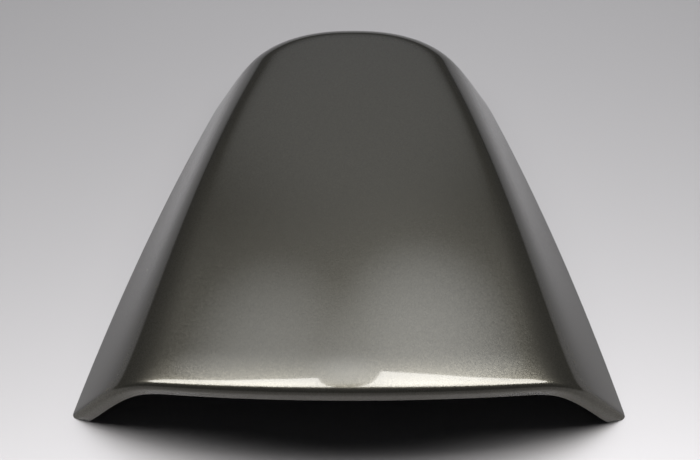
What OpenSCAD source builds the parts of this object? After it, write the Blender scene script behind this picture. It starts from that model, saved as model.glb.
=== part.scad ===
// Seat cowl for a motorbike: one moulded shell, open below and at the front, resting on its rim.
// X runs across, +Y towards the tail, +Z up. The floor is z = 0, under the middle of the outline.
// Half of the skin is worked out as ribs that run from the rim up over the wall and the shoulder
// to the spine; the other half is its mirror image, and both share the points on the spine.

/* [Outline] */
// Width across the rim at the two front feet, mm
foot_width = 280; // [250:1:310]
// Width across the rim where the rounding of the tail begins, mm
tail_width = 188; // [165:1:210]
// How far each side bulges out past a straight taper, mm
side_bulge = 4.1; // [1:0.1:7]
// Distance from the feet to the start of the tail rounding, mm
side_length = 267; // [250:1:290]
// Distance from the feet to the tip of the tail, mm
rim_length = 333; // [322:1:350]
// Power of the oval that closes the tail, 2 is an ellipse
tail_power = 2.3; // [2:0.05:3]
// How far the middle of the front edge stands in front of the feet, mm
front_bow = 26; // [18:0.5:34]
// Where the spine stops and the ribs fan round the tail, from the feet, mm
fan_centre = 235; // [215:1:245]

/* [Height] */
// Height of the top at the middle of the front edge, before its last fall, mm
front_height = 52.8; // [46:0.2:58]
// Height that pulls the first quarter of the spine line, mm
front_pull = 58.5; // [50:0.5:66]
// Height that pulls the middle of the spine line, mm
middle_pull = 72; // [62:0.5:80]
// Height that pulls the third quarter of the spine line, mm
rear_pull = 50; // [42:0.5:58]
// Height at which the spine line would pass over the tip of the tail, mm
tail_pull = 40; // [34:0.5:48]
// Last fall of the top, just before it rolls over the lip, mm
front_fall = 1.2; // [0.6:0.1:2]
// Length of that last fall, mm
fall_run = 16; // [12:0.5:22]
// Fall of the top from the spine to half the foot width at the front, mm
front_drop = 22.5; // [16:0.5:28]
// The same fall at the tail, mm
tail_drop = 16.5; // [12:0.5:22]

/* [Side walls] */
// Slope of the wall at the rim, at the feet
foot_slope = 1.22; // [1.05:0.01:1.4]
// Slope that pulls the wall at the rim, along the sides
side_slope = 1.05; // [0.85:0.01:1.3]
// Slope of the wall at the rim, at the tail
tail_slope = 1.76; // [1.5:0.01:2]
// Slope of the upper wall, at the feet
foot_upper_slope = 0.99; // [0.85:0.01:1.2]
// Slope that pulls the upper wall, along the sides
side_upper_slope = 2.5; // [2.2:0.01:2.8]
// Slope of the upper wall, at the tail
tail_upper_slope = 1.74; // [1.5:0.01:2]
// Distance from the rim over which one slope turns into the other, mm
slope_run = 40; // [32:1:48]
// Size of the rounding between wall and top, at the feet, mm
foot_blend = 17; // [13:0.5:22]
// Size that pulls that rounding along the sides, mm
side_blend = 16.5; // [12:0.5:24]
// Size of that rounding at the tail, mm
tail_blend = 52; // [42:0.5:58]

/* [Shell] */
// Wall thickness, mm
wall = 3; // [2.4:0.1:3.4]
// Outside radius of the rolled front lip, mm
lip_radius = 3.4; // [3.2:0.1:4.5]
// Depth of the flange that hangs from the rolled lip, mm
lip_flange = 4.3; // [3.4:0.1:6]

/* [Bosses] */
// Distance between the two rows of bosses across the shell, mm
boss_spacing_x = 110; // [90:1:120]
// Distance between the front and the rear bosses, mm
boss_spacing_y = 130; // [110:1:150]
// Distance from the feet to the front bosses, mm
boss_start = 55; // [45:1:65]
// Outside diameter of a boss, mm
boss_diameter = 12; // [10:0.5:14]
// Diameter of the pilot hole in a boss, mm
pilot_diameter = 4.2; // [3.2:0.1:5.2]
// Depth of the pilot hole, mm
pilot_depth = 14; // [10:0.5:16]
// Height of the lower face of the bosses above the floor, mm
boss_face = 30; // [26:0.5:32]
// Thickness of the stiffening webs, mm
web_thickness = 2.4; // [1.8:0.1:3]
// Height of the stiffening webs below the skin, mm
web_height = 9; // [6:0.5:12]

/* [Hidden] */
side_steps = 32;
tail_steps = 14;
rib_steps = 21;
roll_steps = 4;
flange_steps = 2;
station_power = 1.25;
rib_power = 1.3;
turn_share = 0.59;
corner_share = 0.17;
embed_share = 0.5;
blend_divisor = 6;
bow_power = 2;
fall_power = 2;
quarter_turn = 90;
round_faces = 48;
web_steps = 6;
overrun = wall / 3;

rib_count = side_steps + tail_steps;
lip_steps = roll_steps + flange_steps;
mid_station = lip_steps + rib_count;
last_station = 2 * mid_station;
fan_station = lip_steps + side_steps;
tail_run = rim_length - side_length;
turn_length = rim_length * turn_share;
boss_radius = boss_diameter / 2;
pilot_radius = pilot_diameter / 2;
shell_colour = [0.26, 0.26, 0.27];

// Plan of a rib: i counts the ribs from the front foot to the tail, k the steps from rim to spine.
function side_half(y) =
    let (s = y / side_length)
    (foot_width * (1 - s) + tail_width * s) / 2 + 4 * side_bulge * s * (1 - s);
function tail_angle(i) = quarter_turn * (i - side_steps) / tail_steps;
function rim_y(i) =
    i <= side_steps
        ? side_length * pow(i / side_steps, station_power)
        : side_length + tail_run * pow(sin(tail_angle(i)), 2 / tail_power);
function rim_x(i) =
    i <= side_steps ? side_half(rim_y(i))
    : i == rib_count ? 0
    : side_half(rim_y(i)) * pow(cos(tail_angle(i)), 2 / tail_power);
function spine_y(i) = -front_bow + (fan_centre + front_bow) * min(rim_y(i) / side_length, 1);
function rib_share(k) = pow(k / rib_steps, rib_power);
function plan_point(i, k) =
    let (
        q = rib_share(k),
        turn = max(1 - rim_y(i) / turn_length, 0),
        across = turn * (1 - pow(1 - q, bow_power)) + (1 - turn) * q
    )
    [rim_x(i) * (1 - q), rim_y(i) + (spine_y(i) - rim_y(i)) * across];

// Heights: the wall and the top are two surfaces, and their lower one is taken with a rounded change.
// No rounding is larger than the height of the top over the rim, so that the rim stays on the floor.
function smooth_min(a, b, size) =
    min(a, b) - size * pow(max(size - abs(a - b), 0) / size, 3) / blend_divisor;
function pull_2(t, v) = v[0] * (1 - t) * (1 - t) + 2 * v[1] * t * (1 - t) + v[2] * t * t;
function pull_4(t, v) =
    pull_2(t, [for (j = [0:2]) pull_2(t, [v[j], v[j + 1], v[j + 2]])]);
function wall_height(d, y) =
    let (
        low = pull_2(y / rim_length, [foot_slope, side_slope, tail_slope]),
        high = pull_2(y / rim_length, [foot_upper_slope, side_upper_slope, tail_upper_slope]),
        e = min(d, slope_run)
    )
    low * e + (high - low) * e * e / (2 * slope_run) + high * (d - e);
function front_edge(x) = -front_bow * (1 - pow(2 * x / foot_width, bow_power));
function last_fall(x, y) =
    front_fall * pow(max(1 - (y - front_edge(x)) / fall_run, 0), fall_power);
function top_height(x, y) =
    let (
        t = (y + front_bow) / (rim_length + front_bow),
        drop = front_drop + (tail_drop - front_drop) * min(max(t, 0), 1)
    )
    pull_4(t, [front_height, front_pull, middle_pull, rear_pull, tail_pull])
    - drop * pow(2 * x / foot_width, 2)
    - last_fall(x, y);
function skin_point(i, k) =
    let (
        p = plan_point(i, k),
        d = norm(p - [rim_x(i), rim_y(i)]),
        blend = pull_2(rim_y(i) / rim_length, [foot_blend, side_blend, tail_blend]),
        size = min(blend, top_height(rim_x(i), rim_y(i)))
    )
    [p[0], p[1], smooth_min(wall_height(d, rim_y(i)), top_height(p[0], p[1]), size)];

ribs = [for (i = [0:rib_count]) [for (k = [0:rib_steps]) skin_point(i, k)]];

// Directions on the outer skin, worked out from neighbouring points.
function unit(v) = v / norm(v);
function mirrored(p) = [-p[0], p[1], p[2]];
function along_rib(i, k) =
    k == rib_steps ? [-1, 0, 0] : ribs[i][k + 1] - ribs[i][max(k - 1, 0)];
function across_ribs(i, k) =
    i == 0 ? 4 * ribs[1][k] - ribs[2][k] - 3 * ribs[0][k]
    : k == rib_steps && i >= side_steps ? ribs[rib_count][k - 1] - ribs[side_steps - 1][k]
    : i == rib_count ? [-1, 0, 0]
    : ribs[i + 1][k] - ribs[i - 1][k];
function outward(i, k) =
    let (n = cross(across_ribs(i, k), along_rib(i, k)))
    unit(k == rib_steps || i == rib_count ? [0, n[1], n[2]] : n);

normals = [for (i = [0:rib_count]) [for (k = [0:rib_steps]) outward(i, k)]];

// Lip: the front edge rolls forward and down and ends in a flange square to the skin. Near the
// feet the flange swings up until it lies flat on the floor, where it is the sole of the foot.
lip_depth = lip_radius + lip_flange;
function swing(k) = min(ribs[0][k][2] / (lip_depth * normals[0][k][2]), 1);
function forward(k) =
    let (
        n = normals[0][k],
        level = unit(cross(n, [0, 0, 1])),
        square = unit(cross(n, along_rib(0, k))),
        f = level * (1 - swing(k)) + square * swing(k)
    )
    unit(k == rib_steps ? [0, f[1], f[2]] : f);
function down(k) =
    let (
        n = normals[0][k],
        low = min((ribs[0][k][2] + forward(k)[2] * lip_radius) / lip_depth, n[2]),
        flat = unit([n[0], n[1], 0]) * sqrt(1 - low * low)
    )
    -[flat[0], flat[1], low];
function lip_point(a, k, inner) =
    let (
        step = lip_steps - a,
        inner_round = max(lip_radius - wall, corner_share * wall),
        r = inner ? inner_round : lip_radius,
        start = inner ? -wall / (down(k) * normals[0][k]) : 0,
        back = inner ? lip_radius - wall - inner_round : 0,
        angle = quarter_turn * min(step / roll_steps, 1),
        past = max(step - roll_steps, 0) / flange_steps,
        fall = start + r * (1 - cos(angle)) + (lip_depth - start - r) * past
    )
    ribs[0][k] + forward(k) * (back + r * sin(angle)) + down(k) * fall;

// Points of the right half, a counts the stations from the edge of the flange to the tail.
function inner_skin(i, k) =
    let (n = normals[i][k], flat = [n[0], n[1], 0])
    k == 0
        ? ribs[i][k] - flat * wall / (flat * flat)
        : ribs[i][k] - n * wall;
function half_point(a, k, inner) =
    a < lip_steps ? lip_point(a, k, inner)
    : inner ? inner_skin(a - lip_steps, k)
    : ribs[a - lip_steps][k];
function station_point(a, k, inner) =
    a <= mid_station ? half_point(a, k, inner) : mirrored(half_point(last_station - a, k, inner));

// Numbering: each skin has the steps below the spine first, then the spine, which both halves share.
skin_size = (last_station + 1) * rib_steps + fan_station + 1;
function number(a, k, inner) =
    (inner ? skin_size : 0)
    + (k < rib_steps
        ? a * rib_steps + k
        : (last_station + 1) * rib_steps + min(a, last_station - a, fan_station));
function skin_points(inner) = concat(
    [for (a = [0:last_station]) for (k = [0:rib_steps - 1]) station_point(a, k, inner)],
    [for (a = [0:fan_station]) station_point(a, rib_steps, inner)]
);
function split(q, other) =
    let (halves = other
        ? [[q[0], q[1], q[3]], [q[1], q[2], q[3]]]
        : [[q[0], q[1], q[2]], [q[0], q[2], q[3]]])
    [for (h = halves) if (h[0] != h[1] && h[1] != h[2] && h[2] != h[0]) h];
function skin_quad(a, k, inner) =
    let (
        p = number(a, k, inner),
        q = number(a, k + 1, inner),
        r = number(a + 1, k + 1, inner),
        s = number(a + 1, k, inner)
    )
    split(inner ? [p, s, r, q] : [p, q, r, s], (a < mid_station) != inner);
skin_faces = [
    for (inner = [false, true]) for (a = [0:last_station - 1]) for (k = [0:rib_steps - 1])
        each skin_quad(a, k, inner)
];
rim_faces = [
    for (a = [0:last_station - 1]) each split([
        number(a, 0, false), number(a + 1, 0, false), number(a + 1, 0, true), number(a, 0, true)
    ], a < mid_station)
];
lip_faces = [
    for (k = [0:rib_steps - 1]) each concat(
        split([
            number(0, k + 1, false), number(0, k, false), number(0, k, true), number(0, k + 1, true)
        ], true),
        split([
            number(last_station, k, false), number(last_station, k + 1, false),
            number(last_station, k + 1, true), number(last_station, k, true)
        ], false)
    )
];

// The whole cowl is moved so that the middle of its outline stands on the origin.
front_reach = min([for (k = [0:rib_steps]) for (a = [0:lip_steps]) half_point(a, k, false)[1]]);
middle = (front_reach + rim_length) / 2;

module shell() {
    polyhedron(
        points = concat(skin_points(false), skin_points(true)),
        faces = concat(skin_faces, rim_faces, lip_faces),
        convexity = 8
    );
}

boss_places = [
    for (x = [-boss_spacing_x / 2, boss_spacing_x / 2])
        for (y = [boss_start, boss_start + boss_spacing_y]) [x, y]
];
function skin_middle(x, y) = top_height(x, y) - wall * embed_share;
function web_line(x, fall) = [
    for (j = [0:web_steps])
        let (y = boss_start + boss_spacing_y * j / web_steps) [y, skin_middle(x, y) - fall]
];
function reversed(v) = [for (j = [len(v) - 1:-1:0]) v[j]];

module bosses() {
    for (p = boss_places)
        translate([p[0], p[1], boss_face])
            cylinder(r = boss_radius, h = skin_middle(p[0], p[1]) - boss_face, $fn = round_faces);
}

// Upright webs along the two rows of bosses; their upper edge follows the skin.
module webs() {
    for (side = [-1, 1])
        translate([side * boss_spacing_x / 2 - web_thickness / 2, 0, 0])
            rotate([quarter_turn, 0, quarter_turn])
                linear_extrude(web_thickness)
                    polygon(concat(
                        web_line(boss_spacing_x / 2, 0),
                        reversed(web_line(boss_spacing_x / 2, web_height))
                    ));
}

module pilot_holes() {
    for (p = boss_places)
        translate([p[0], p[1], boss_face - overrun])
            cylinder(r = pilot_radius, h = pilot_depth + overrun, $fn = round_faces);
}

module cowl_shell() {
    color(shell_colour)
        translate([0, -middle, 0])
            difference() {
                union() {
                    shell();
                    bosses();
                    webs();
                }
                pilot_holes();
            }
}

cowl_shell();
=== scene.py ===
"""Paints the moulded cowl shell and sets it on a pale studio floor."""

import math

import bmesh
import bpy
from bpy.props import FloatProperty, FloatVectorProperty, IntProperty, PointerProperty
from bpy.types import Operator, Panel, PropertyGroup
from mathutils import Matrix, Vector


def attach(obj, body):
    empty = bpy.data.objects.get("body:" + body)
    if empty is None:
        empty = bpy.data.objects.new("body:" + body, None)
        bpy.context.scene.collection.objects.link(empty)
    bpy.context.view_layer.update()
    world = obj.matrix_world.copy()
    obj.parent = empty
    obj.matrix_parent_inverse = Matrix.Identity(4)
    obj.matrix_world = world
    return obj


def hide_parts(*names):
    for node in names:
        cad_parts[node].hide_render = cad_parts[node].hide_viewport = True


bl_info = {
    "name": "Motorbike Cowl Finish",
    "version": (1, 0, 0),
    "blender": (4, 5, 0),
    "location": "3D View > Sidebar > Cowl",
    "description": "Smooths, paints and lights a one-piece motorbike cowl on its packed frame",
    "category": "Add Mesh",
}

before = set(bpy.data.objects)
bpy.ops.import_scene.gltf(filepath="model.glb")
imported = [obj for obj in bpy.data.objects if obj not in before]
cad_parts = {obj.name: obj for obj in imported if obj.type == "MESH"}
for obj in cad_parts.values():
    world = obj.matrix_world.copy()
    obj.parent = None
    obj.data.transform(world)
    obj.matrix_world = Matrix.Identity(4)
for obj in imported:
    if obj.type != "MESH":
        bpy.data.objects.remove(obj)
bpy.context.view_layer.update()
SHELL_NODE = "cowl_shell"

CREASE = 1.0
SURFACE_QUALITY = 3
FLOOR_SIDES = 96
SENSOR_WIDTH = 36.0

# Patterns are turned by these angles, so that their cells don't line up with the shell.
DUST_TURN = (0.3, 0.5, 0.2)
TONE_TURN = (0.7, 0.2, 0.4)
FLAKE_TURN = (0.4, 0.3, 0.6)

# Dust: cells for each metre, share of cells that hold a speck, and a speck's radius in cells.
PAINT_DUST = {"Spacing": 75.0, "Share": 0.03, "Speck": 0.035}
BARE_DUST = {"Spacing": 60.0, "Share": 0.05, "Speck": 0.04}
DUST_ROUGHNESS = 0.8

# Changes of tone: waves for each metre, and layers of finer waves.
PAINT_TONE = {"Scale": 9.0, "Detail": 2.0}
BARE_TONE = {"Scale": 22.0, "Detail": 4.0}
GRAIN_DETAIL = 2.0

# The flakes hardly mirror more at a grazing angle, because the lacquer over them does.
GRAZING_TINT = (0.05, 0.05, 0.05, 1.0)


class CowlShellSizes(PropertyGroup):
    """Sizes of the smooth shell"""

    weld_gap: FloatProperty(
        name="Weld gap",
        description="Corners of the loose triangles that lie closer than this become one",
        default=0.000001,
        min=0.0,
        unit="LENGTH",
    )
    crisp_angle: FloatProperty(
        name="Crisp angle",
        description="Faces that meet at more than this angle keep a crisp edge",
        default=math.radians(32),
        min=0.0,
        max=math.pi,
        subtype="ANGLE",
    )
    join_angle: FloatProperty(
        name="Join angle",
        description="Triangles that meet at less than this angle may join into one face",
        default=math.radians(40),
        min=0.0,
        max=math.pi,
        subtype="ANGLE",
    )
    edge_round: FloatProperty(
        name="Edge rounding",
        description="Width of the rounding on the outer edges of rim, lip, bosses and webs",
        default=0.0004,
        min=0.0,
        unit="LENGTH",
    )
    edge_segments: IntProperty(
        name="Edge segments",
        description="Number of faces across that rounding",
        default=2,
        min=1,
        max=4,
    )
    smooth_levels: IntProperty(
        name="Smooth levels",
        description="How often the faces are halved into a smooth surface",
        default=1,
        min=0,
        max=2,
    )


class CowlPaint(PropertyGroup):
    """Colours and grain of the finishes"""

    metal_colour: FloatVectorProperty(
        name="Metallic paint",
        description="Colour of the metallic base coat",
        default=(0.1095, 0.1045, 0.0875),
        size=3,
        min=0.0,
        max=1.0,
        subtype="COLOR",
    )
    metal_share: FloatProperty(
        name="Metal share",
        description="How much of the base coat mirrors like metal",
        default=0.88,
        min=0.0,
        max=1.0,
        subtype="FACTOR",
    )
    metal_roughness: FloatProperty(
        name="Base coat roughness",
        description="How widely the base coat spreads a highlight",
        default=0.28,
        min=0.0,
        max=1.0,
        subtype="FACTOR",
    )
    flake_width: FloatProperty(
        name="Flake width",
        description="Size of one metal flake in the paint",
        default=0.00035,
        min=0.0001,
        unit="LENGTH",
    )
    flake_tilt: FloatProperty(
        name="Flake tilt",
        description="How far the flakes lean away from the surface",
        default=0.09,
        min=0.0,
        max=1.0,
        subtype="FACTOR",
    )
    flake_contrast: FloatProperty(
        name="Flake contrast",
        description="How much lighter or darker than the base coat a flake can be",
        default=0.22,
        min=0.0,
        max=1.0,
        subtype="FACTOR",
    )
    slow_contrast: FloatProperty(
        name="Slow contrast",
        description="How much the base coat's tone drifts over the shell",
        default=0.03,
        min=0.0,
        max=1.0,
        subtype="FACTOR",
    )
    lacquer_share: FloatProperty(
        name="Lacquer",
        description="Strength of the clear lacquer's mirror",
        default=0.9,
        min=0.0,
        max=1.0,
        subtype="FACTOR",
    )
    lacquer_ior: FloatProperty(
        name="Lacquer IOR",
        description="Index of refraction of the clear lacquer",
        default=1.6,
        min=1.0,
    )
    lacquer_roughness: FloatProperty(
        name="Lacquer roughness",
        description="How much the clear lacquer blurs what it mirrors",
        default=0.05,
        min=0.0,
        max=1.0,
        subtype="FACTOR",
    )
    dust_colour: FloatVectorProperty(
        name="Dust",
        description="Colour of the few specks of dust",
        default=(0.42, 0.42, 0.4),
        size=3,
        min=0.0,
        max=1.0,
        subtype="COLOR",
    )
    bare_colour: FloatVectorProperty(
        name="Bare plastic",
        description="Colour of the unpainted inside",
        default=(0.035, 0.035, 0.036),
        size=3,
        min=0.0,
        max=1.0,
        subtype="COLOR",
    )
    bare_roughness: FloatVectorProperty(
        name="Bare plastic roughness",
        description="Least and greatest spread of a highlight on the unpainted inside",
        default=(0.42, 0.6),
        size=2,
        min=0.0,
        max=1.0,
    )
    bare_shares: FloatVectorProperty(
        name="Bare plastic shares",
        description="Darkest and lightest tone of the unpainted inside, as shares of its colour",
        default=(0.8, 1.3),
        size=2,
        min=0.0,
    )
    grain_width: FloatProperty(
        name="Grain width",
        description="Width of the moulded grain on the unpainted inside",
        default=0.000625,
        min=0.0001,
        unit="LENGTH",
    )
    grain_depth: FloatProperty(
        name="Grain depth",
        description="Depth of the moulded grain",
        default=0.0002,
        min=0.0,
        unit="LENGTH",
    )
    grain_strength: FloatProperty(
        name="Grain strength",
        description="How clearly the moulded grain shows",
        default=0.35,
        min=0.0,
        max=1.0,
        subtype="FACTOR",
    )


class CowlStage(PropertyGroup):
    """Floor, lamps, room and camera"""

    floor_width: FloatProperty(
        name="Floor width",
        description="Width of the round floor",
        default=16.0,
        min=1.0,
        unit="LENGTH",
    )
    floor_colour: FloatVectorProperty(
        name="Floor",
        description="Colour of the floor",
        default=(0.525, 0.517, 0.528),
        size=3,
        min=0.0,
        max=1.0,
        subtype="COLOR",
    )
    floor_sheen: FloatProperty(
        name="Floor sheen",
        description="How much of the floor mirrors softly",
        default=0.8,
        min=0.0,
        max=1.0,
        subtype="FACTOR",
    )
    floor_roughness: FloatProperty(
        name="Floor roughness",
        description="How widely the floor spreads a highlight",
        default=0.5,
        min=0.0,
        max=1.0,
        subtype="FACTOR",
    )
    lamp_height: FloatProperty(
        name="Lamp height",
        description="Height of the soft lamps above the floor",
        default=1.2,
        min=0.3,
        unit="LENGTH",
    )
    left_lamp: FloatVectorProperty(
        name="Left lamp",
        description="Place across and along, width and depth of the left soft lamp",
        default=(-0.695, -0.055, 1.2, 0.53),
        size=4,
        unit="LENGTH",
    )
    right_lamp: FloatVectorProperty(
        name="Right lamp",
        description="Place across and along, width and depth of the right soft lamp",
        default=(0.655, -0.01, 1.2, 0.56),
        size=4,
        unit="LENGTH",
    )
    left_turn: FloatProperty(
        name="Left turn",
        description="Angle of the left lamp seen from above",
        default=math.radians(7.5),
        subtype="ANGLE",
    )
    right_turn: FloatProperty(
        name="Right turn",
        description="Angle of the right lamp seen from above",
        default=math.radians(-11.0),
        subtype="ANGLE",
    )
    lamp_light: FloatProperty(
        name="Lamp light",
        description="Light of the two soft lamps for each square metre and direction",
        default=7.3,
        min=0.0,
    )
    lamp_colour: FloatVectorProperty(
        name="Lamp colour",
        description="Colour of the two soft lamps",
        default=(1.0, 0.985, 0.965),
        size=3,
        min=0.0,
        max=1.0,
        subtype="COLOR",
    )
    left_ceiling: FloatVectorProperty(
        name="Left ceiling",
        description="Lean back, turn, bright angle and end angle of the ceiling's left light",
        default=[math.radians(angle) for angle in (26.5, -30.5, 7.0, 19.0)],
        size=4,
        unit="ROTATION",
    )
    right_ceiling: FloatVectorProperty(
        name="Right ceiling",
        description="Lean back, turn, bright angle and end angle of the ceiling's right light",
        default=[math.radians(angle) for angle in (27.5, 24.5, 7.0, 19.0)],
        size=4,
        unit="ROTATION",
    )
    wall: FloatVectorProperty(
        name="Wall",
        description="Lean back, turn, bright angle and end angle of the lit wall behind",
        default=[math.radians(angle) for angle in (63.0, 0.0, 4.0, 25.0)],
        size=4,
        unit="ROTATION",
    )
    left_ceiling_light: FloatProperty(
        name="Left ceiling light",
        description="Light of the ceiling's left part",
        default=1.55,
        min=0.0,
    )
    right_ceiling_light: FloatProperty(
        name="Right ceiling light",
        description="Light of the ceiling's right part",
        default=1.9,
        min=0.0,
    )
    wall_light: FloatProperty(
        name="Wall light",
        description="Light of the wall behind the shell",
        default=0.34,
        min=0.0,
    )
    room_colour: FloatVectorProperty(
        name="Room",
        description="Colour of the room's light",
        default=(0.95, 0.967, 1.0),
        size=3,
        min=0.0,
        max=1.0,
        subtype="COLOR",
    )
    room_light: FloatProperty(
        name="Room light",
        description="Light of the rest of the room",
        default=0.06,
        min=0.0,
    )
    camera_place: FloatVectorProperty(
        name="Camera place",
        description="Where the camera stands",
        default=(0.00909, -0.51944, 0.44691),
        size=3,
        unit="LENGTH",
        subtype="XYZ",
    )
    camera_pitch: FloatProperty(
        name="Camera pitch",
        description="How far the camera looks down",
        default=math.radians(41.28),
        subtype="ANGLE",
    )
    camera_heading: FloatProperty(
        name="Camera heading",
        description="How far the camera turns to the left of +Y",
        default=math.radians(1.076),
        subtype="ANGLE",
    )
    camera_roll: FloatProperty(
        name="Camera roll",
        description="How far the camera leans about its own line of sight",
        default=math.radians(-0.71),
        subtype="ANGLE",
    )
    camera_lens: FloatProperty(
        name="Camera lens",
        description="Focal length in millimetres on a sensor 36 mm wide",
        default=57.85,
        min=10.0,
    )


def add_node(tree, kind, place, **values):
    """Adds a shader node and sets its plain values"""
    node = tree.nodes.new(kind)
    node.location = place
    for name, value in values.items():
        setattr(node, name, value)
    return node


def turned_place(tree, place, turn=(0.0, 0.0, 0.0)):
    """Object coordinates, turned for a pattern"""
    x, y = place
    where = add_node(tree, "ShaderNodeTexCoord", (x, y))
    turned = add_node(tree, "ShaderNodeMapping", (x + 200, y))
    turned.inputs["Rotation"].default_value = turn
    tree.links.new(where.outputs["Object"], turned.inputs["Vector"])
    return turned.outputs["Vector"]


def new_group(name, inputs, output):
    """Makes an empty shader node group with named float inputs and one float output"""
    group = bpy.data.node_groups.new(name, "ShaderNodeTree")
    for label, value in inputs.items():
        socket = group.interface.new_socket(label, in_out="INPUT", socket_type="NodeSocketFloat")
        socket.default_value = value
    group.interface.new_socket(output, in_out="OUTPUT", socket_type="NodeSocketFloat")
    return group


def dust_group():
    """Sparse specks of dust: a mask that is 1 on a speck and 0 elsewhere"""
    group = new_group("dust_specks", PAINT_DUST, "Mask")
    given = add_node(group, "NodeGroupInput", (-900, 0))
    place = turned_place(group, (-900, -200), DUST_TURN)
    cells = add_node(group, "ShaderNodeTexVoronoi", (-500, -100), feature="F1")
    near = add_node(group, "ShaderNodeMath", (-300, 0), operation="LESS_THAN")
    chosen = add_node(group, "ShaderNodeSeparateColor", (-300, -200))
    few = add_node(group, "ShaderNodeMath", (-100, -200), operation="LESS_THAN")
    both = add_node(group, "ShaderNodeMath", (100, 0), operation="MULTIPLY")
    out = add_node(group, "NodeGroupOutput", (300, 0))
    link = group.links.new
    link(place, cells.inputs["Vector"])
    link(given.outputs["Spacing"], cells.inputs["Scale"])
    link(cells.outputs["Distance"], near.inputs[0])
    link(given.outputs["Speck"], near.inputs[1])
    link(cells.outputs["Color"], chosen.inputs["Color"])
    link(chosen.outputs["Red"], few.inputs[0])
    link(given.outputs["Share"], few.inputs[1])
    link(near.outputs["Value"], both.inputs[0])
    link(few.outputs["Value"], both.inputs[1])
    link(both.outputs["Value"], out.inputs["Mask"])
    return group


def tone_group():
    """Slow changes of tone over the surface, from 0 to 1 about a middle of one half"""
    group = new_group("slow_tone", PAINT_TONE, "Tone")
    given = add_node(group, "NodeGroupInput", (-700, 0))
    place = turned_place(group, (-700, -200), TONE_TURN)
    noise = add_node(group, "ShaderNodeTexNoise", (-300, 0))
    out = add_node(group, "NodeGroupOutput", (0, 0))
    link = group.links.new
    link(place, noise.inputs["Vector"])
    link(given.outputs["Scale"], noise.inputs["Scale"])
    link(given.outputs["Detail"], noise.inputs["Detail"])
    link(noise.outputs["Fac"], out.inputs["Tone"])
    return group


def new_material(name):
    """Makes a node material and returns it with its tree and its Principled shader"""
    material = bpy.data.materials.new(name)
    material.use_nodes = True
    tree = material.node_tree
    shader = tree.nodes["Principled BSDF"]
    return material, tree, shader


def place_group(tree, group, place, values):
    """Puts a node group in a material with its own values"""
    node = tree.nodes.new("ShaderNodeGroup")
    node.node_tree = group
    node.location = place
    for label, value in values.items():
        node.inputs[label].default_value = value
    return node


def mix_to(tree, place, colour):
    """Adds a colour mix that ends at a plain colour and starts at the colour linked to A"""
    node = add_node(tree, "ShaderNodeMix", place, data_type="RGBA")
    node.inputs["B"].default_value = (*colour, 1.0)
    return node


def map_range(tree, place, low, high):
    """Adds a node that spreads 0 to 1 over low to high"""
    node = add_node(tree, "ShaderNodeMapRange", place)
    node.inputs["To Min"].default_value = low
    node.inputs["To Max"].default_value = high
    return node


def about_one(tree, place, contrast):
    """Adds a node that spreads 0 to 1 evenly about 1"""
    return map_range(tree, place, 1.0 - contrast, 1.0 + contrast)


def flakes(tree, place, width, tilt):
    """Metal flakes: a random tone for each, and a normal that leans its own way on each"""
    x, y = place
    where = turned_place(tree, (x, y), FLAKE_TURN)
    cells = add_node(tree, "ShaderNodeTexVoronoi", (x + 400, y), feature="F1")
    cells.inputs["Scale"].default_value = 1.0 / width
    centred = add_node(tree, "ShaderNodeVectorMath", (x + 600, y), operation="SUBTRACT")
    centred.inputs[1].default_value = (0.5, 0.5, 0.5)
    leaning = add_node(tree, "ShaderNodeVectorMath", (x + 800, y), operation="SCALE")
    leaning.inputs["Scale"].default_value = tilt
    surface = add_node(tree, "ShaderNodeNewGeometry", (x + 600, y - 200))
    added = add_node(tree, "ShaderNodeVectorMath", (x + 1000, y), operation="ADD")
    unit = add_node(tree, "ShaderNodeVectorMath", (x + 1200, y), operation="NORMALIZE")
    tone = add_node(tree, "ShaderNodeSeparateColor", (x + 600, y + 200))
    link = tree.links.new
    link(where, cells.inputs["Vector"])
    link(cells.outputs["Color"], centred.inputs[0])
    link(centred.outputs["Vector"], leaning.inputs[0])
    link(surface.outputs["Normal"], added.inputs[0])
    link(leaning.outputs["Vector"], added.inputs[1])
    link(added.outputs["Vector"], unit.inputs[0])
    link(cells.outputs["Color"], tone.inputs["Color"])
    return tone.outputs["Green"], unit.outputs["Vector"]


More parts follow.
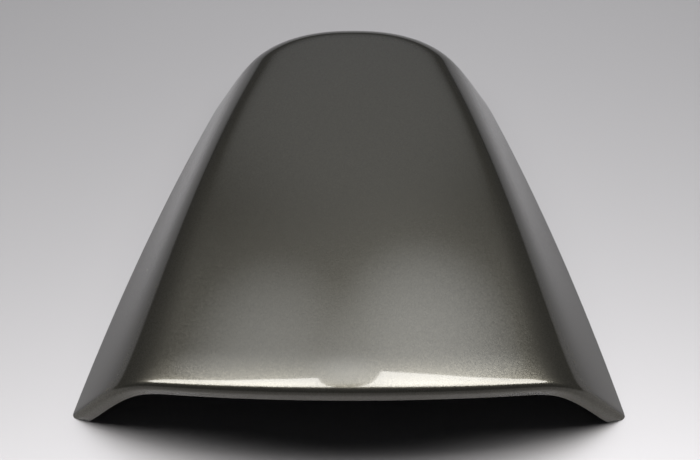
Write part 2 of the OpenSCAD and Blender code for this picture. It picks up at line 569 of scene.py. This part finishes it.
def paint_material(paint, dust, slow):
    """Dark metallic base coat with fine flakes under a clear lacquer, with a few specks of dust"""
    material, tree, shader = new_material("metallic_paint")
    link = tree.links.new
    flake_tone, flake_normal = flakes(tree, (-2000, -300), paint.flake_width, paint.flake_tilt)
    slow_tone = place_group(tree, slow, (-1100, 300), PAINT_TONE)
    flake_range = about_one(tree, (-900, 100), paint.flake_contrast)
    slow_range = about_one(tree, (-900, 300), paint.slow_contrast)
    brightness = add_node(tree, "ShaderNodeMath", (-700, 200), operation="MULTIPLY")
    base = add_node(tree, "ShaderNodeRGB", (-700, 400))
    base.outputs["Color"].default_value = (*paint.metal_colour, 1.0)
    toned = add_node(tree, "ShaderNodeVectorMath", (-500, 300), operation="SCALE")
    specks = place_group(tree, dust, (-700, 0), PAINT_DUST)
    dusty = mix_to(tree, (-250, 300), paint.dust_colour)
    metal = map_range(tree, (-250, 50), paint.metal_share, 0.0)
    rough = map_range(tree, (-250, -150), paint.metal_roughness, DUST_ROUGHNESS)
    lacquer = map_range(tree, (-250, -350), paint.lacquer_share, 0.0)
    link(flake_tone, flake_range.inputs["Value"])
    link(slow_tone.outputs["Tone"], slow_range.inputs["Value"])
    link(flake_range.outputs["Result"], brightness.inputs[0])
    link(slow_range.outputs["Result"], brightness.inputs[1])
    link(base.outputs["Color"], toned.inputs[0])
    link(brightness.outputs["Value"], toned.inputs["Scale"])
    link(toned.outputs["Vector"], dusty.inputs["A"])
    link(specks.outputs["Mask"], dusty.inputs["Factor"])
    for node in (metal, rough, lacquer):
        link(specks.outputs["Mask"], node.inputs["Value"])
    link(dusty.outputs["Result"], shader.inputs["Base Color"])
    link(metal.outputs["Result"], shader.inputs["Metallic"])
    link(rough.outputs["Result"], shader.inputs["Roughness"])
    link(lacquer.outputs["Result"], shader.inputs["Coat Weight"])
    link(flake_normal, shader.inputs["Normal"])
    shader.inputs["Coat Roughness"].default_value = paint.lacquer_roughness
    shader.inputs["Coat IOR"].default_value = paint.lacquer_ior
    shader.inputs["Specular Tint"].default_value = GRAZING_TINT
    shader.inputs["Specular IOR Level"].default_value = 0.0
    return material


def bare_material(paint, dust, slow):
    """Unpainted black plastic with a fine moulded grain and a little dust"""
    material, tree, shader = new_material("bare_plastic")
    link = tree.links.new
    where = turned_place(tree, (-1100, -300))
    grain = add_node(tree, "ShaderNodeTexNoise", (-700, -300))
    grain.inputs["Scale"].default_value = 1.0 / paint.grain_width
    grain.inputs["Detail"].default_value = GRAIN_DETAIL
    bump = add_node(tree, "ShaderNodeBump", (-300, -300))
    bump.inputs["Strength"].default_value = paint.grain_strength
    bump.inputs["Distance"].default_value = paint.grain_depth
    slow_tone = place_group(tree, slow, (-900, 200), BARE_TONE)
    rough = map_range(tree, (-500, 0), *paint.bare_roughness)
    dark, light = ([share * part for part in paint.bare_colour] for share in paint.bare_shares)
    toned = mix_to(tree, (-600, 300), light)
    toned.inputs["A"].default_value = (*dark, 1.0)
    specks = place_group(tree, dust, (-700, 100), BARE_DUST)
    dusty = mix_to(tree, (-250, 300), paint.dust_colour)
    link(where, grain.inputs["Vector"])
    link(grain.outputs["Fac"], bump.inputs["Height"])
    link(slow_tone.outputs["Tone"], rough.inputs["Value"])
    link(slow_tone.outputs["Tone"], toned.inputs["Factor"])
    link(toned.outputs["Result"], dusty.inputs["A"])
    link(specks.outputs["Mask"], dusty.inputs["Factor"])
    link(dusty.outputs["Result"], shader.inputs["Base Color"])
    link(rough.outputs["Result"], shader.inputs["Roughness"])
    link(bump.outputs["Normal"], shader.inputs["Normal"])
    return material


def floor_material(stage):
    """Plain pale floor with a soft sheen"""
    material, tree, shader = new_material("studio_floor")
    shader.inputs["Base Color"].default_value = (*stage.floor_colour, 1.0)
    shader.inputs["Metallic"].default_value = stage.floor_sheen
    shader.inputs["Roughness"].default_value = stage.floor_roughness
    return material


def turn_between(edge):
    """Angle by which the surface turns over an edge"""
    return edge.calc_face_angle(0.0)


def outer_faces(work, crisp_angle):
    """The painted faces: all that the top reaches without crossing a crisp edge"""
    start = max(work.faces, key=lambda face: face.calc_center_median().z)
    found = {start}
    waiting = [start]
    while waiting:
        face = waiting.pop()
        for edge in face.edges:
            if turn_between(edge) > crisp_angle:
                continue
            for other in edge.link_faces:
                if other not in found:
                    found.add(other)
                    waiting.append(other)
    return found


def smooth_shell(node, sizes, paint_index, bare_index):
    """Welds a copy of the moulded solid's triangles, joins them in pairs and rounds their edges"""
    work = bmesh.new()
    work.from_mesh(node.data)
    bmesh.ops.remove_doubles(work, verts=work.verts[:], dist=sizes.weld_gap)
    bmesh.ops.join_triangles(
        work,
        faces=work.faces[:],
        cmp_seam=False,
        cmp_sharp=False,
        cmp_uvs=False,
        cmp_vcols=False,
        cmp_materials=False,
        angle_face_threshold=sizes.join_angle,
        angle_shape_threshold=math.pi,
    )
    painted = outer_faces(work, sizes.crisp_angle)
    for face in work.faces:
        face.smooth = True
        face.material_index = paint_index if face in painted else bare_index
    corners = [
        edge
        for edge in work.edges
        if edge.is_convex and turn_between(edge) > sizes.crisp_angle
    ]
    bmesh.ops.bevel(
        work,
        geom=corners,
        offset=sizes.edge_round,
        offset_type="OFFSET",
        segments=sizes.edge_segments,
        profile=0.5,
        affect="EDGES",
        clamp_overlap=True,
        material=-1,
    )
    creases = work.edges.layers.float.new("crease_edge")
    for edge in work.edges:
        crisp = turn_between(edge) > sizes.crisp_angle
        edge.smooth = not crisp
        edge[creases] = CREASE if crisp else 0.0
    mesh = bpy.data.meshes.new("painted_cowl")
    work.to_mesh(mesh)
    work.free()
    return mesh


def add_subdivision(piece, levels):
    """Adds the subdivision that makes the shell smooth"""
    modifier = piece.modifiers.new("smooth_surface", "SUBSURF")
    modifier.levels = levels
    modifier.render_levels = levels
    modifier.quality = SURFACE_QUALITY


class COWL_OT_shell(Operator):
    """Builds the painted shell over the moulded solid"""

    bl_idname = "cowl.shell"
    bl_label = "Painted shell"
    bl_options = {"REGISTER", "UNDO"}

    def execute(self, context):
        sizes = context.scene.cowl_shell_sizes
        paint = context.scene.cowl_paint
        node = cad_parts.get(SHELL_NODE)
        if node is None:
            raise RuntimeError("the frame holds no " + SHELL_NODE)
        dust = dust_group()
        slow = tone_group()
        mesh = smooth_shell(node, sizes, paint_index=0, bare_index=1)
        mesh.materials.append(paint_material(paint, dust, slow))
        mesh.materials.append(bare_material(paint, dust, slow))
        piece = bpy.data.objects.new("painted_cowl", mesh)
        context.scene.collection.objects.link(piece)
        add_subdivision(piece, sizes.smooth_levels)
        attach(piece, "root")
        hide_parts(SHELL_NODE)
        return {"FINISHED"}


def add_floor(stage, collection):
    """Adds the round floor that the shell rests on"""
    work = bmesh.new()
    radius = stage.floor_width / 2
    bmesh.ops.create_circle(work, cap_ends=True, segments=FLOOR_SIDES, radius=radius)
    mesh = bpy.data.meshes.new("floor")
    work.to_mesh(mesh)
    work.free()
    mesh.materials.append(floor_material(stage))
    floor = bpy.data.objects.new("floor", mesh)
    collection.objects.link(floor)


def add_lamp(stage, collection, name, outline, turn):
    """Adds one soft lamp that hangs level over the shell"""
    across, along, width, depth = outline
    lamp = bpy.data.lights.new(name, "AREA")
    lamp.shape = "RECTANGLE"
    lamp.size, lamp.size_y = width, depth
    lamp.energy = math.pi * width * depth * stage.lamp_light
    lamp.color = stage.lamp_colour
    hung = bpy.data.objects.new(name, lamp)
    hung.location = (across, along, stage.lamp_height)
    hung.rotation_euler.z = turn
    collection.objects.link(hung)


def soft_patch(tree, place, angles, light):
    """Light of a round patch of the room, which dies away softly"""
    x, y = place
    lean, turn, bright, end = angles
    where = add_node(tree, "ShaderNodeTexCoord", (x, y))
    towards = add_node(tree, "ShaderNodeVectorMath", (x + 200, y), operation="DOT_PRODUCT")
    centre = (math.sin(lean) * math.sin(turn), math.sin(lean) * math.cos(turn), math.cos(lean))
    towards.inputs[1].default_value = centre
    fade = add_node(tree, "ShaderNodeMapRange", (x + 400, y), interpolation_type="SMOOTHSTEP")
    fade.inputs["From Min"].default_value = math.cos(end)
    fade.inputs["From Max"].default_value = math.cos(bright)
    fade.inputs["To Max"].default_value = light
    tree.links.new(where.outputs["Generated"], towards.inputs[0])
    tree.links.new(towards.outputs["Value"], fade.inputs["Value"])
    return fade.outputs["Result"]


def add_room(stage, scene):
    """Sets the dim room round the floor, with a lit ceiling and wall behind the shell"""
    world = bpy.data.worlds.new("dim_room")
    world.use_nodes = True
    tree = world.node_tree
    background = tree.nodes["Background"]
    background.inputs["Color"].default_value = (*stage.room_colour, 1.0)
    patches = (
        (stage.left_ceiling, stage.left_ceiling_light),
        (stage.right_ceiling, stage.right_ceiling_light),
        (stage.wall, stage.wall_light),
    )
    plain = add_node(tree, "ShaderNodeValue", (-1100, 300))
    plain.outputs["Value"].default_value = stage.room_light
    total = plain.outputs["Value"]
    for step, (angles, light) in enumerate(patches):
        patch = soft_patch(tree, (-1600, -300 * step), angles, light)
        added = add_node(tree, "ShaderNodeMath", (-900 + 200 * step, 0), operation="ADD")
        tree.links.new(total, added.inputs[0])
        tree.links.new(patch, added.inputs[1])
        total = added.outputs["Value"]
    tree.links.new(total, background.inputs["Strength"])
    scene.world = world


def add_camera(stage, scene):
    """Sets the camera where the photographer stood"""
    camera = bpy.data.cameras.new("camera")
    camera.lens = stage.camera_lens
    camera.sensor_width = SENSOR_WIDTH
    held = bpy.data.objects.new("camera", camera)
    turn = Matrix.Rotation(stage.camera_heading, 4, "Z")
    tilt = Matrix.Rotation(math.pi / 2 - stage.camera_pitch, 4, "X")
    lean = Matrix.Rotation(stage.camera_roll, 4, "Z")
    held.matrix_world = Matrix.Translation(Vector(stage.camera_place)) @ turn @ tilt @ lean
    scene.collection.objects.link(held)
    scene.camera = held


class COWL_OT_stage(Operator):
    """Sets the floor, the lamps, the room and the camera"""

    bl_idname = "cowl.stage"
    bl_label = "Studio"
    bl_options = {"REGISTER", "UNDO"}

    def execute(self, context):
        scene = context.scene
        stage = scene.cowl_stage
        add_floor(stage, scene.collection)
        add_lamp(stage, scene.collection, "left_lamp", stage.left_lamp, stage.left_turn)
        add_lamp(stage, scene.collection, "right_lamp", stage.right_lamp, stage.right_turn)
        add_room(stage, scene)
        add_camera(stage, scene)
        scene.view_settings.view_transform = "Standard"
        return {"FINISHED"}


class COWL_PT_panel(Panel):
    """Lists the steps and the settings of the cowl"""

    bl_idname = "COWL_PT_panel"
    bl_label = "Motorbike cowl"
    bl_space_type = "VIEW_3D"
    bl_region_type = "UI"
    bl_category = "Cowl"

    def draw(self, context):
        layout = self.layout
        for operator in OPERATORS:
            layout.operator(operator.bl_idname)
        for name in GROUPS:
            settings = getattr(context.scene, name)
            box = layout.box()
            for label in settings.__annotations__:
                box.prop(settings, label)


GROUPS = {
    "cowl_shell_sizes": CowlShellSizes,
    "cowl_paint": CowlPaint,
    "cowl_stage": CowlStage,
}
OPERATORS = (COWL_OT_shell, COWL_OT_stage)
CLASSES = (*GROUPS.values(), *OPERATORS, COWL_PT_panel)


def register():
    """Registers the classes and hangs the settings on the scene"""
    for kind in CLASSES:
        bpy.utils.register_class(kind)
    for name, group in GROUPS.items():
        setattr(bpy.types.Scene, name, PointerProperty(type=group))


def unregister():
    """Takes the settings and the classes away again"""
    for name in GROUPS:
        delattr(bpy.types.Scene, name)
    for kind in reversed(CLASSES):
        bpy.utils.unregister_class(kind)


def main():
    """Builds the shell and its studio"""
    register()
    bpy.ops.cowl.shell()
    bpy.ops.cowl.stage()


if __name__ == "__main__":
    main()
